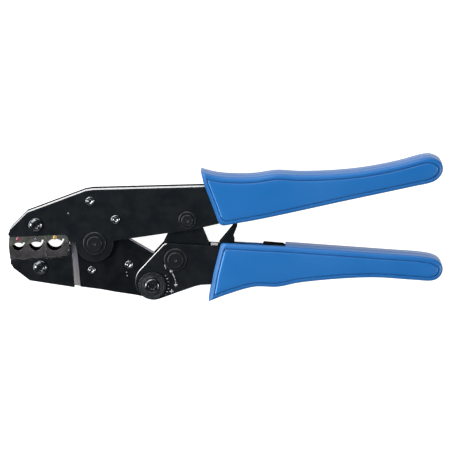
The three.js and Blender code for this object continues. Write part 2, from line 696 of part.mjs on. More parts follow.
const returnFrom = SPRING_POST[0] + POST_R + GAP;
const returnTo = LINK_TAIL[0] - 2.0 - GAP;
const returnCoilR = CORE_T / 2 - COIL_WALL;
placeSpring(frame, 'return_spring',
  springSolid(returnTo - returnFrom, returnCoilR, RETURN_WIRE_R), [returnFrom, SPRING_POST[1]], 0);

// ---------------------------------------------------------------- pawl with release lever

function ratchetPawl() {
  const [x, y] = PAWL_PIVOT;
  const [cx, cy] = TOGGLE_PIVOT;
  const tipR = RATCHET_R + TOOTH_PLAY;
  const tip = (angle, radius) => [
    cx + radius * Math.cos(degrees(angle)), cy + radius * Math.sin(degrees(angle)),
  ];
  const shape = new THREE.Shape();
  shape.absarc(x, y, 3.6, degrees(215), degrees(330), false);
  const edge = [
    [71.6, -7.4], [PAWL_HEEL_X, PAWL_SPRING_Y - 1.1], [PAWL_HEEL_X, PAWL_SPRING_Y + 1.1],
    [71.6, -4.0], [71.9, 1.2], [71.2, 3.0],
    [73.4, 8.6], [72.9, 9.4], [72.0, 9.4], [64.0, -0.4], [64.2, -4.3],
  ];
  for (const [px, py] of edge) shape.lineTo(px, py);
  shape.lineTo(tip(8, tipR + 1.2)[0], -5.1);
  shape.lineTo(...tip(6, tipR));
  shape.lineTo(...tip(3.4, tipR));
  const body = plate(shape, -CORE_T / 2, CORE_T / 2);
  return drilled(body, PAWL_PIN_R + GAP, PAWL_PIVOT, 24);
}

place(pawlGroup, 'ratchet_pawl', ratchetPawl(), 'blackSteel');

const pawlSpringFrom = PAWL_HEEL_X + GAP;
const pawlSpringTo = ANCHOR.from - GAP;
placeSpring(lowerHandle, 'pawl_spring',
  springSolid(pawlSpringTo - pawlSpringFrom, CORE_T / 4, PAWL_WIRE_R),
  [pawlSpringFrom, PAWL_SPRING_Y], 0);

// ---------------------------------------------------------------- adjuster

// The adjuster pin carries the toothed disc that sets the crimping force. A screw holds both.
const bushTop = SEAT + WHEEL_T + WHEEL_STAND;
const flangeR = ADJUSTER_FLANGE_R;
let adjusterPin = turned([
  [0, BACK_LOW], [flangeR - CORNER, BACK_LOW], [flangeR, BACK_LOW + CORNER], [flangeR, -SEAT],
  [ADJUSTER_PIN_R, -SEAT], [ADJUSTER_PIN_R, bushTop], [0, bushTop],
]);
adjusterPin = adjusterPin.subtract(disc(ADJUSTER_BORE_R, 0, GRIP_HALF + 2, [0, 0], 20));
place(adjuster, 'adjuster_pin', adjusterPin, 'blackSteel', HANDLE_PIVOT);

function adjusterWheel() {
  const shape = new THREE.Shape();
  const pitch = (2 * Math.PI) / WHEEL_TEETH;
  const root = WHEEL_R - WHEEL_TOOTH;
  for (let i = 0; i < WHEEL_TEETH; i += 1) {
    const at = i * pitch;
    const corner = (share, radius) => [
      radius * Math.cos(at + share * pitch), radius * Math.sin(at + share * pitch),
    ];
    if (i === 0) shape.moveTo(...corner(0, WHEEL_R));
    else shape.lineTo(...corner(0, WHEEL_R));
    shape.lineTo(...corner(0.3, WHEEL_R));
    shape.lineTo(...corner(0.62, WHEEL_R));
    shape.lineTo(...corner(0.7, root));
    shape.lineTo(...corner(0.92, root));
  }
  const body = plate(shape, SEAT, SEAT + WHEEL_T);
  return drilled(body, ADJUSTER_PIN_R + GAP, [0, 0]);
}

place(adjuster, 'adjuster_wheel', adjusterWheel(), 'blackSteel', HANDLE_PIVOT);

function adjusterScrew() {
  const seat = bushTop + GAP;
  const top = seat + ADJUSTER_SCREW_T;
  const headR = ADJUSTER_SCREW_R;
  const threadR = ADJUSTER_BORE_R - GAP;
  const body = turned([
    [0, seat - ADJUSTER_THREAD], [threadR, seat - ADJUSTER_THREAD], [threadR, seat],
    [headR, seat], [headR, top - CORNER], [headR - CORNER, top], [0, top],
  ]);
  return body.subtract(disc(ADJUSTER_SOCKET_R, seat + CORNER, top + 1, [0, 0], 6));
}

place(adjuster, 'adjuster_screw', adjusterScrew(), 'blackSteel', HANDLE_PIVOT);

export default tool;
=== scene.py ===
import math

import bmesh
import bpy
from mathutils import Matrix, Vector


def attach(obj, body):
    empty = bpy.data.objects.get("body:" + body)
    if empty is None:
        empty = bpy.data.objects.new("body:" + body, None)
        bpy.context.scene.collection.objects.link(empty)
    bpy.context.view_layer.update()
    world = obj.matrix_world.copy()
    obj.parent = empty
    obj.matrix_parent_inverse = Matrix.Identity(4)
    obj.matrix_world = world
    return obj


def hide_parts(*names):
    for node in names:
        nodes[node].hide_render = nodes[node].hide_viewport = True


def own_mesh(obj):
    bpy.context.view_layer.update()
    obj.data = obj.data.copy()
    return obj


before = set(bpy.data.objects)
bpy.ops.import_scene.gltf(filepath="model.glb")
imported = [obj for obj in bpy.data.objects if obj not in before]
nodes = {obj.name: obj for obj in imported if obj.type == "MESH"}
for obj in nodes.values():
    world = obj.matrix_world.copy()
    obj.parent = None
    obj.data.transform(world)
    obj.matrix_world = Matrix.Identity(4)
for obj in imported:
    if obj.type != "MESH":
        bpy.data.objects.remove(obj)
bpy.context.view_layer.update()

MM = 0.001
MIDDLE = 8.0  # millimetres from the table to the middle layer of the tool


# ---- camera
# A long lens far above the tool, tipped a little towards the upper grip.

VIEW_TILT = math.radians(11)
VIEW_DISTANCE = 1.6
VIEW_WIDTH = 0.2322
VIEW_CENTRE = Vector((0.06775, 0.0087, 0.0137))

camera_data = bpy.data.cameras.new("camera")
camera_data.sensor_width = 36
camera_data.lens = 36 * VIEW_DISTANCE / VIEW_WIDTH
camera_data.clip_start = 0.05
camera_data.clip_end = 20
camera = bpy.data.objects.new("camera", camera_data)
view_back = Vector((0, math.sin(VIEW_TILT), math.cos(VIEW_TILT)))
camera.location = VIEW_CENTRE + view_back * VIEW_DISTANCE
camera.rotation_euler = (-VIEW_TILT, 0, 0)
bpy.context.collection.objects.link(camera)
bpy.context.scene.camera = camera


# ---- table and studio light
# A backlit white board under large soft boxes: the key stands high on the left behind the tool,
# and low boxes on the left and behind draw the bright lines along the edges. Two small lamps
# give the glints on rivets and screws.

def add_node(tree, kind, values=None, **settings):
    """A shader node with its settings and the values of its unlinked inputs."""
    node = tree.nodes.new(kind)
    for key, value in settings.items():
        setattr(node, key, value)
    for key, value in (values or {}).items():
        node.inputs[key].default_value = value
    return node


def feed(tree, node, sources):
    """Links other nodes' outputs to the named inputs of a node or a shader."""
    for key, output in sources.items():
        tree.links.new(output, node.inputs[key])


def maths(tree, operation, first, second=None):
    """The output of a Math node. Each value is a number or another node's output."""
    node = add_node(tree, "ShaderNodeMath", operation=operation)
    for index, value in enumerate((first, second)):
        if isinstance(value, float):
            node.inputs[index].default_value = value
        elif value is not None:
            tree.links.new(value, node.inputs[index])
    return node.outputs[0]


def colour_mix(tree, factor, first, second):
    """A colour between two, each a value or another node's output, by a factor output."""
    node = add_node(tree, "ShaderNodeMix", data_type="RGBA")
    for index, colour in ((6, first), (7, second)):
        if isinstance(colour, tuple):
            node.inputs[index].default_value = (*colour, 1)
        else:
            tree.links.new(colour, node.inputs[index])
    tree.links.new(factor, node.inputs[0])
    return node.outputs[2]


def new_material(name):
    """A material with an empty Principled shader, and its tree."""
    made = bpy.data.materials.new(name)
    made.use_nodes = True
    tree = made.node_tree
    shader = tree.nodes["Principled BSDF"]
    return made, tree, shader


def new_piece(name, points, faces, material):
    """A mesh object from points in millimetres, with its faces turned outwards."""
    mesh = bpy.data.meshes.new(name)
    work = bmesh.new()
    corners = [work.verts.new((x * MM, y * MM, z * MM)) for x, y, z in points]
    for face in faces:
        work.faces.new([corners[i] for i in face])
    bmesh.ops.recalc_face_normals(work, faces=work.faces)
    for face in work.faces:
        face.smooth = True
    work.to_mesh(mesh)
    work.free()
    mesh.materials.append(material)
    piece = bpy.data.objects.new(name, mesh)
    bpy.context.collection.objects.link(piece)
    return piece


BOARD_GLOW = 0.97  # of the board as the camera sees it
BOARD_MIRRORED = 0.75  # of the board as polished metal mirrors it
TABLE_HALF = 2500
TABLE_STEPS = 8
TABLE_DROP = -0.05  # just under the tool, so that the two never touch

board, tree, shader = new_material("white_board")
speck = add_node(tree, "ShaderNodeTexNoise", {"Scale": 900, "Detail": 3})
seen = add_node(tree, "ShaderNodeLightPath")
glow = maths(tree, "MULTIPLY", seen.outputs["Is Camera Ray"], BOARD_GLOW)
mirrored = maths(tree, "MULTIPLY", seen.outputs["Is Glossy Ray"], BOARD_MIRRORED)
feed(tree, shader, {
    "Base Color": colour_mix(tree, speck.outputs["Fac"], (0.33, 0.33, 0.34),
                             (0.36, 0.36, 0.37)),
    "Emission Strength": maths(tree, "ADD", glow, mirrored),
})
shader.inputs["Emission Color"].default_value = (1, 1, 1, 1)
shader.inputs["Roughness"].default_value = 0.9
shader.inputs["Specular IOR Level"].default_value = 0.1

table_points = []
table_faces = []
for row in range(TABLE_STEPS + 1):
    for column in range(TABLE_STEPS + 1):
        table_points.append((
            -TABLE_HALF + 2 * TABLE_HALF * column / TABLE_STEPS,
            -TABLE_HALF + 2 * TABLE_HALF * row / TABLE_STEPS,
            TABLE_DROP,
        ))
for row in range(TABLE_STEPS):
    for column in range(TABLE_STEPS):
        low = row * (TABLE_STEPS + 1) + column
        table_faces.append((low, low + 1, low + TABLE_STEPS + 2, low + TABLE_STEPS + 1))
table = new_piece("table_board", table_points, table_faces, board)

SOFT_BOXES = {
    # name: place, width, height, watts
    "key": ((-0.42, 0.62, 0.78), 0.8, 0.6, 15.0),
    "left_wall": ((-0.75, 0.08, 0.2), 0.9, 0.34, 7.0),
    "back_wall": ((0.05, 0.85, 0.22), 1.1, 0.36, 6.0),
    "right_fill": ((0.75, -0.25, 0.75), 0.5, 0.5, 3.0),
    "left_glint": ((-0.62, -0.04, 0.62), 0.18, 0.18, 6.0),
    "right_glint": ((0.7, -0.1, 0.62), 0.14, 0.14, 3.5),
    "front_fill": ((0.05, -0.9, 0.6), 1.0, 0.4, 1.5),
}
for name, (place, width, height, watts) in SOFT_BOXES.items():
    light = bpy.data.lights.new(name, "AREA")
    light.shape = "RECTANGLE"
    light.size = width
    light.size_y = height
    light.energy = watts
    box = bpy.data.objects.new(name, light)
    box.location = place
    aim = VIEW_CENTRE - Vector(place)
    box.rotation_euler = aim.to_track_quat("-Z", "Y").to_euler()
    box.visible_camera = False
    bpy.context.collection.objects.link(box)

world = bpy.data.worlds.new("studio")
world.use_nodes = True
tree = world.node_tree
seen = add_node(tree, "ShaderNodeLightPath")
air = add_node(tree, "ShaderNodeMapRange", {"To Min": 0.08, "To Max": 1.0})
feed(tree, air, {"Value": seen.outputs["Is Camera Ray"]})
feed(tree, tree.nodes["Background"], {"Strength": air.outputs["Result"]})
tree.nodes["Background"].inputs["Color"].default_value = (0.95, 0.97, 1.0, 1)
bpy.context.scene.world = world
bpy.context.scene.view_settings.view_transform = "Standard"


# ---- side plates of the frame and of the lower handle
# Stamped steel plates 2.4 mm thick, deburred round the edge and blackened in an oxide bath.
# The black wears through to grey steel at the corners that hands and benches touch.

def new_group(name, inputs, outputs):
    """An empty shader node group with float or vector inputs and float outputs."""
    group = bpy.data.node_groups.new(name, "ShaderNodeTree")
    for socket, value in inputs.items():
        kind = "NodeSocketVector" if isinstance(value, tuple) else "NodeSocketFloat"
        made = group.interface.new_socket(name=socket, in_out="INPUT", socket_type=kind)
        made.default_value = value
    for socket in outputs:
        group.interface.new_socket(name=socket, in_out="OUTPUT", socket_type="NodeSocketFloat")
    return group, group.nodes.new("NodeGroupInput"), group.nodes.new("NodeGroupOutput")


# Worn edges: 1 where an edge is rubbed bare, broken up into patches.
worn_edges, given, result = new_group(
    "worn_edges", {"Width": 0.0004, "Patch scale": 500.0, "Amount": 0.6}, ["Mask"])
rounding = add_node(worn_edges, "ShaderNodeBevel", samples=4)
facing = add_node(worn_edges, "ShaderNodeNewGeometry")
likeness = add_node(worn_edges, "ShaderNodeVectorMath", operation="DOT_PRODUCT")
turning = add_node(worn_edges, "ShaderNodeMapRange",
                   {"From Min": 0.995, "From Max": 0.86, "To Min": 0.0, "To Max": 1.0})
place_at = add_node(worn_edges, "ShaderNodeTexCoord")
patches = add_node(worn_edges, "ShaderNodeTexNoise", {"Detail": 5.0, "Roughness": 0.65})
broken = add_node(worn_edges, "ShaderNodeMapRange", {"From Min": 0.38, "From Max": 0.62})
feed(worn_edges, rounding, {"Radius": given.outputs["Width"]})
feed(worn_edges, likeness, {0: rounding.outputs["Normal"], 1: facing.outputs["Normal"]})
feed(worn_edges, turning, {"Value": likeness.outputs["Value"]})
feed(worn_edges, patches, {"Vector": place_at.outputs["Object"],
                           "Scale": given.outputs["Patch scale"]})
feed(worn_edges, broken, {"Value": patches.outputs["Fac"]})
both = maths(worn_edges, "MULTIPLY", turning.outputs["Result"], broken.outputs["Result"])
amount = maths(worn_edges, "MULTIPLY", both, given.outputs["Amount"])
amount.node.use_clamp = True
feed(worn_edges, result, {"Mask": amount})

# Mottle: slow cloudy change over the surface, from 0 to 1.
mottle, given, result = new_group("mottle", {"Scale": 90.0, "Sharpness": 0.2}, ["Value"])
place_at = add_node(mottle, "ShaderNodeTexCoord")
clouds = add_node(mottle, "ShaderNodeTexNoise", {"Detail": 6.0, "Roughness": 0.6})
spread = add_node(mottle, "ShaderNodeMapRange")
feed(mottle, clouds, {"Vector": place_at.outputs["Object"], "Scale": given.outputs["Scale"]})
feed(mottle, spread, {
    "Value": clouds.outputs["Fac"],
    "From Min": maths(mottle, "ADD", 0.3, given.outputs["Sharpness"]),
    "From Max": maths(mottle, "SUBTRACT", 0.7, given.outputs["Sharpness"]),
})
feed(mottle, result, {"Value": spread.outputs["Result"]})

# Grain: fine streaks or pits, stretched by the Stretch vector, as a height from 0 to 1.
grain, given, result = new_group(
    "grain", {"Scale": 1500.0, "Stretch": (1.0, 1.0, 1.0)}, ["Height"])
place_at = add_node(grain, "ShaderNodeTexCoord")
stretched = add_node(grain, "ShaderNodeVectorMath", operation="MULTIPLY")
streaks = add_node(grain, "ShaderNodeTexNoise", {"Detail": 4.0, "Roughness": 0.55})
feed(grain, stretched, {0: place_at.outputs["Object"], 1: given.outputs["Stretch"]})
feed(grain, streaks, {"Vector": stretched.outputs["Vector"], "Scale": given.outputs["Scale"]})
feed(grain, result, {"Height": streaks.outputs["Fac"]})

# Flatness: 1 on faces level with the table, 0 on the sawn walls.
flatness, given, result = new_group("flatness", {"Power": 4.0}, ["Mask"])
facing = add_node(flatness, "ShaderNodeNewGeometry")
parts = add_node(flatness, "ShaderNodeSeparateXYZ")
feed(flatness, parts, {0: facing.outputs["Normal"]})
height = maths(flatness, "ABSOLUTE", parts.outputs["Z"])
feed(flatness, result, {"Mask": maths(flatness, "POWER", height, given.outputs["Power"])})


def use_group(tree, group, values):
    """The output of a group placed in a material with its own values."""
    node = add_node(tree, "ShaderNodeGroup", node_tree=group)
    for key, value in values.items():
        node.inputs[key].default_value = value
    return node.outputs[0]


def value_range(tree, value, low, high):
    """A value from 0 to 1 brought to the range between low and high."""
    node = add_node(tree, "ShaderNodeMapRange", {"To Min": low, "To Max": high})
    feed(tree, node, {"Value": value})
    return node.outputs["Result"]


def bumped(tree, height, strength, depth):
    """A normal from a height, with the depth in metres."""
    node = add_node(tree, "ShaderNodeBump", {"Strength": strength, "Distance": depth})
    feed(tree, node, {"Height": height})
    return node.outputs["Normal"]


def placed(tree, axis):
    """Where a point of the surface lies along an axis, in metres."""
    where = add_node(tree, "ShaderNodeTexCoord")
    split = add_node(tree, "ShaderNodeSeparateXYZ")
    feed(tree, split, {0: where.outputs["Object"]})
    return split.outputs[axis]


def blackened_steel(name, deep, thin, rough, wear, shine):
    """Steel with a black oxide skin: cloudy black, fine grain, and grey where it is worn.
    The sawn walls are duller than the rolled faces."""
    made, tree, shader = new_material(name)
    clouds = use_group(tree, mottle, {"Scale": 140.0, "Sharpness": 0.08})
    fine = use_group(tree, grain, {"Scale": 2600.0})
    rubbed = use_group(tree, worn_edges,
                       {"Width": 0.00035, "Patch scale": 420.0, "Amount": wear})
    level = use_group(tree, flatness, {"Power": 4.0})
    skin = colour_mix(tree, clouds, deep, thin)
    feed(tree, shader, {
        "Base Color": colour_mix(tree, rubbed, skin, (0.36, 0.37, 0.39)),
        "Metallic": rubbed,
        "Roughness": value_range(tree, clouds, rough - 0.06, rough + 0.08),
        "Normal": bumped(tree, fine, 0.35, 0.00002),
        "Specular IOR Level": value_range(tree, level, 0.0, shine),
    })
    return made


plate_black = blackened_steel(
    "black_oxide_plate", (0.0028, 0.004, 0.0052), (0.0038, 0.0051, 0.0064), 0.42, 0.1, 0.08)

PLATE_EDGE = 0.42  # rounding of the stamped edge


def softened(piece, width, segments=3, sharp=28):
    """Fine rounding on the edges of a piece that are sharper than an angle in degrees."""
    bevel = piece.modifiers.new("soft edges", "BEVEL")
    bevel.width = width * MM
    bevel.segments = segments
    bevel.limit_method = "ANGLE"
    bevel.angle_limit = math.radians(sharp)
    bevel.harden_normals = True


def eased_edges(piece, width, material, segments=3):
    """A CAD piece with welded corners, rounded edges and its finish."""
    weld = piece.modifiers.new("weld", "WELD")
    weld.merge_threshold = 0.000002
    flat = piece.modifiers.new("flat faces", "DECIMATE")
    flat.decimate_type = "DISSOLVE"
    flat.angle_limit = math.radians(1)
    softened(piece, width, segments, 32)
    piece.data.materials.clear()
    piece.data.materials.append(material)


for name in ("frame_plate_front", "frame_plate_rear", "handle_plate_rear"):
    eased_edges(nodes[name], PLATE_EDGE, plate_black)

# The front plate of the handle has a wider chamfer. Along the edge that slides over the jaw
# lever, the part of the chamfer that faces the lamps on the left is painted near-white as a
# painted highlight.
WIDE_CHAMFER = 0.7
HIGHLIGHT_TOWARDS = (-0.82, 0.42, 0.38)  # the direction of the chamfer faces that get the painted highlight
HIGHLIGHT_END = 0.037  # metres along X, where the painted highlight stops

handle_black = plate_black.copy()
handle_black.name = "black_oxide_painted_highlight"
tree = handle_black.node_tree
shader = tree.nodes["Principled BSDF"]
black_skin = shader.inputs["Base Color"].links[0].from_socket
bare_mask = shader.inputs["Metallic"].links[0].from_socket
turned_to = add_node(tree, "ShaderNodeNewGeometry")
leaning = add_node(tree, "ShaderNodeVectorMath", {1: HIGHLIGHT_TOWARDS},
                   operation="DOT_PRODUCT")
facing_lamps = add_node(tree, "ShaderNodeMapRange", {"From Min": 0.48, "From Max": 0.56})
feed(tree, leaning, {0: turned_to.outputs["True Normal"]})
feed(tree, facing_lamps, {"Value": leaning.outputs["Value"]})
front_part = maths(tree, "LESS_THAN", placed(tree, "X"), HIGHLIGHT_END)
highlight_part = maths(tree, "MULTIPLY", facing_lamps.outputs["Result"], front_part)
# Painted highlight: chamfer faces turned to the lamps on the left are mixed to near-white.
feed(tree, shader, {
    "Base Color": colour_mix(tree, highlight_part, black_skin, (0.92, 0.92, 0.93)),
    "Metallic": maths(tree, "MAXIMUM", bare_mask, maths(tree, "MULTIPLY", highlight_part, 0.3)),
})
eased_edges(nodes["handle_plate_front"], WIDE_CHAMFER, handle_black)


# ---- layers between the plates
# Bright cold-rolled steel: the core of the frame, the spacer and the tail core of the handle.
# Their sawn and ground edges show as bright lines between the black plates.

def ground_steel(name, dark, light, rough, stretch, wear, metal):
    """Bare steel with grinding streaks and a thin film of oil."""
    made, tree, shader = new_material(name)
    clouds = use_group(tree, mottle, {"Scale": 220.0, "Sharpness": 0.05})
    streaks = use_group(tree, grain, {"Scale": 1400.0, "Stretch": stretch})
    rubbed = use_group(tree, worn_edges,
                       {"Width": 0.0003, "Patch scale": 600.0, "Amount": wear})
    tone = colour_mix(tree, streaks, dark, light)
    oiled = colour_mix(tree, value_range(tree, clouds, 0.0, 0.35), tone,
                       (dark[0] * 0.7, dark[1] * 0.66, dark[2] * 0.6))
    feed(tree, shader, {
        "Base Color": colour_mix(tree, rubbed, oiled, (0.8, 0.8, 0.8)),
        "Metallic": value_range(tree, streaks, metal - 0.1, metal + 0.1),
        "Roughness": value_range(tree, streaks, rough - 0.08, rough + 0.12),
        "Normal": bumped(tree, streaks, 0.4, 0.00002),
    })
    return made


core_bright = ground_steel(
    "ground_core_steel", (0.46, 0.46, 0.47), (0.62, 0.62, 0.62), 0.34, (1.0, 1.0, 12.0),
    0.3, 0.75)
for name in ("handle_spacer", "handle_core", "handle_rivet_fore",
             "handle_rivet_aft", "pawl_pin", "spring_post"):
    eased_edges(nodes[name], 0.2, core_bright)

# The edge of the frame core was blackened with the plates and then ground bright in a band
# towards the front plate.
BAND_LOW = -0.8
BAND_HIGH = 4.0
core_banded = core_bright.copy()
core_banded.name = "banded_core_steel"
tree = core_banded.node_tree
shader = tree.nodes["Principled BSDF"]
bright_tone = shader.inputs["Base Color"].links[0].from_socket
bright_metal = shader.inputs["Metallic"].links[0].from_socket
height = placed(tree, "Z")
band = maths(tree, "MULTIPLY",
             maths(tree, "GREATER_THAN", height, (MIDDLE + BAND_LOW) * MM),
             maths(tree, "LESS_THAN", height, (MIDDLE + BAND_HIGH) * MM))
feed(tree, shader, {
    "Base Color": colour_mix(tree, band, (0.005, 0.0065, 0.008), bright_tone),
    "Metallic": maths(tree, "MULTIPLY", band, bright_metal),
    "Specular IOR Level": value_range(tree, band, 0.0, 0.5),
})
eased_edges(nodes["frame_core"], 0.2, core_banded)


# ---- moving jaw
# One forging with a wide head for the die and a thin lever behind it, closed by two black
# plates. The head is blackened; the lever is left bright and shows in the slot beside them.

# Black oxide on the head, and bare steel between the two levels of the lever, which is paler
# and warmer towards its lower end.
LEVER_HALF = 2.1  # of the bare lever, over and under the middle layer
LEVER_FROM = -12.8  # along X, where the head ends

jaw_forging, tree, shader = new_material("jaw_forging")
clouds = use_group(tree, mottle, {"Scale": 140.0, "Sharpness": 0.08})
streaks = use_group(tree, grain, {"Scale": 1400.0, "Stretch": (1.0, 9.0, 1.0)})
rubbed = use_group(tree, worn_edges, {"Width": 0.00035, "Patch scale": 420.0, "Amount": 0.35})
flat_part = use_group(tree, flatness, {"Power": 4.0})
height = placed(tree, "Z")
level = maths(tree, "MULTIPLY",
              maths(tree, "LESS_THAN", height, (MIDDLE + LEVER_HALF) * MM),
              maths(tree, "GREATER_THAN", height, (MIDDLE - LEVER_HALF) * MM))
lever = maths(tree, "MULTIPLY", level,
              maths(tree, "GREATER_THAN", placed(tree, "X"), LEVER_FROM * MM))
skin = colour_mix(tree, clouds, (0.0022, 0.003, 0.004), (0.003, 0.004, 0.005))
worn = colour_mix(tree, rubbed, skin, (0.36, 0.37, 0.39))
along = add_node(tree, "ShaderNodeMapRange", {"From Min": -0.03, "From Max": -0.008})
feed(tree, along, {"Value": placed(tree, "Y")})
deep = colour_mix(tree, along.outputs["Result"], (0.44, 0.4, 0.36), (0.28, 0.27, 0.34))
high = colour_mix(tree, along.outputs["Result"], (0.72, 0.68, 0.63), (0.5, 0.48, 0.58))
feed(tree, shader, {
    "Base Color": colour_mix(tree, lever, worn, colour_mix(tree, streaks, deep, high)),
    "Metallic": maths(tree, "MAXIMUM", rubbed, maths(tree, "MULTIPLY", lever, 0.45)),
    "Roughness": value_range(tree, clouds, 0.34, 0.46),
    "Normal": bumped(tree, streaks, 0.3, 0.00002),
    "Specular IOR Level": value_range(tree, flat_part, 0.0, 0.1),
})
eased_edges(nodes["lower_jaw"], 0.35, jaw_forging)

jaw_plate_black = blackened_steel(
    "black_oxide_jaw_plate", (0.0015, 0.0022, 0.003), (0.0022, 0.003, 0.0038), 0.42, 0.1, 0.08)
for name in ("jaw_side_plate_front", "jaw_side_plate_rear"):
    eased_edges(nodes[name], 0.25, jaw_plate_black)


# ---- crimping dies
# A pair of sintered steel dies, satin grey, each held by one screw. A raised line marks the
# widest nest, and an enamel dot over each nest gives the terminal colour it is for.

def die_steel(name, dark, light):
    """Grey sintered steel with fine pits and a satin sheen. Where the surface turns away from
    level, in the nests and on the walls, it is painted near-black as painted shade.
    """
    made, tree, shader = new_material(name)
    clouds = use_group(tree, mottle, {"Scale": 260.0, "Sharpness": 0.05})
    pits = use_group(tree, grain, {"Scale": 3200.0})
    rubbed = use_group(tree, worn_edges,
                       {"Width": 0.00035, "Patch scale": 700.0, "Amount": 0.5})
    level = use_group(tree, flatness, {"Power": 2.0})
    # Painted shade: nests and walls are mixed towards near-black as they turn from level.
    nest_shade_tone = colour_mix(tree, level, (0.003, 0.003, 0.0035),
                       colour_mix(tree, clouds, dark, light))
    feed(tree, shader, {
        "Base Color": colour_mix(tree, rubbed, nest_shade_tone, (0.55, 0.55, 0.55)),
        "Metallic": maths(tree, "MULTIPLY", value_range(tree, rubbed, 0.55, 1.0), level),
        "Roughness": value_range(tree, clouds, 0.4, 0.52),
        "Normal": bumped(tree, pits, 0.5, 0.00003),
        "Specular IOR Level": value_range(tree, level, 0.0, 0.5),
    })
    return made


DIE_TONES = {
    "upper_die": ((0.034, 0.036, 0.032), (0.055, 0.058, 0.052)),
    "lower_die": ((0.015, 0.014, 0.0155), (0.028, 0.026, 0.028)),
}
for name, (dark, light) in DIE_TONES.items():
    eased_edges(nodes[name], 0.16, die_steel(name + "_steel", dark, light))


def between(low, high):
    """The faces between two rings of points, given by their numbers. One of the rings may be
    a single point, which is a tip."""
    size = max(len(low), len(high))
    faces = []
    for i in range(size):
        j = (i + 1) % size
        if len(low) == 1:
            faces.append((low[0], high[i], high[j]))
        elif len(high) == 1:
            faces.append((low[i], low[j], high[0]))
        else:
            faces.append((low[i], low[j], high[j], high[i]))
    return faces


def turned(name, profile, centre, material, sides=64, rim=None, bored=False):
    """A lathe-turned piece. The profile lists radius, height over the middle layer and,
    for a socket, the number of its flats. rim gives the outline of a ring that isn't round."""
    points = []
    rings = []
    for entry in profile:
        radius, level = entry[0], entry[1]
        flats = entry[2] if len(entry) > 2 else 0
        if radius == 0:
            rings.append([len(points)])
            points.append((centre[0], centre[1], MIDDLE + level))
            continue
        ring = []
        for i in range(sides):
            angle = 2 * math.pi * i / sides
            reach = radius
            if flats > 1:
                wedge = 2 * math.pi / flats
                reach = radius * math.cos(wedge / 2) / math.cos(angle % wedge - wedge / 2)
            elif flats == 1:
                reach = radius + rim(angle)
            ring.append(len(points))
            points.append((
                centre[0] + reach * math.cos(angle),
                centre[1] + reach * math.sin(angle),
                MIDDLE + level,
            ))
        rings.append(ring)
    if bored:
        rings.append(rings[0])
    faces = []
    for low, high in zip(rings, rings[1:]):
        faces.extend(between(low, high))
    return new_piece(name, points, faces, material)


def enamel(name, colour, edge):
    """Thick glossy paint, its colour clouded between the given colour and a darker one."""
    made, tree, shader = new_material(name)
    clouds = use_group(tree, mottle, {"Scale": 900.0, "Sharpness": 0.1})
    feed(tree, shader, {
        "Base Color": colour_mix(tree, clouds, colour, edge),
        "Roughness": value_range(tree, clouds, 0.1, 0.2),
    })
    shader.inputs["Specular IOR Level"].default_value = 0.8
    return made


DOTS = {
    # name: centre, radius, middle colour, rim colour
    "red_dot": ((-39.2, 2.0), 1.1, (0.14, 0.01, 0.03), (0.08, 0.006, 0.018)),
    "blue_dot": ((-30.1, 1.9), 0.8, (0.02, 0.026, 0.06), (0.01, 0.013, 0.03)),
    "yellow_dot": ((-20.3, 2.9), 1.1, (0.3, 0.185, 0.025), (0.16, 0.095, 0.012)),
}
for name, (centre, radius, colour, edge) in DOTS.items():
    dot = turned(name, [(0, 4.9), (radius, 4.9), (radius, 5.23), (radius * 0.88, 5.36),
                        (radius * 0.65, 5.5), (radius * 0.35, 5.58), (0, 5.6)],
                 centre, enamel(name + "_enamel", colour, edge), 32)
    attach(dot, "frame")


# ---- pivot pins and washers
# Turned and hardened pins with flat heads over washers. The main and link pins are riveted
# over at the back. The lathe leaves a centre mark and fine rings on each head.

def turned_steel(name, deep, thin, rough, wear, centre):
    """Blackened turned steel with the rings of the lathe round its axis."""
    made, tree, shader = new_material(name)
    clouds = use_group(tree, mottle, {"Scale": 200.0, "Sharpness": 0.08})
    rubbed = use_group(tree, worn_edges,
                       {"Width": 0.0003, "Patch scale": 500.0, "Amount": wear})
    where = add_node(tree, "ShaderNodeTexCoord")
    moved = add_node(tree, "ShaderNodeVectorMath",
                     {1: (centre[0] * MM, centre[1] * MM, 0.0)}, operation="SUBTRACT")
    flat = add_node(tree, "ShaderNodeVectorMath", {1: (1.0, 1.0, 0.0)},
                    operation="MULTIPLY")
    reach = add_node(tree, "ShaderNodeVectorMath", operation="LENGTH")
    rings = add_node(tree, "ShaderNodeTexNoise", {"Scale": 3800.0, "Detail": 2.0},
                     noise_dimensions="1D")
    feed(tree, moved, {0: where.outputs["Object"]})
    feed(tree, flat, {0: moved.outputs["Vector"]})
    feed(tree, reach, {0: flat.outputs["Vector"]})
    feed(tree, rings, {"W": reach.outputs["Value"]})
    ring = rings.outputs["Fac"]
    ringed = colour_mix(tree, value_range(tree, ring, 0.0, 0.4),
                        colour_mix(tree, clouds, deep, thin),
                        tuple(channel * 1.4 for channel in thin))
    feed(tree, shader, {
        "Base Color": colour_mix(tree, rubbed, ringed, (0.4, 0.41, 0.43)),
        "Metallic": rubbed,
        "Roughness": value_range(tree, ring, rough - 0.1, rough + 0.1),
        "Normal": bumped(tree, ring, 0.25, 0.00002),
    })
    shader.inputs["Specular IOR Level"].default_value = 0.2
    return made


SEAT = 6.0  # outside of the plates, over the middle layer
WASHER_TOP = 6.6
HEAD_SEAT = 6.9
HEAD_TOP = 7.8
BACK_LOW = -7.3

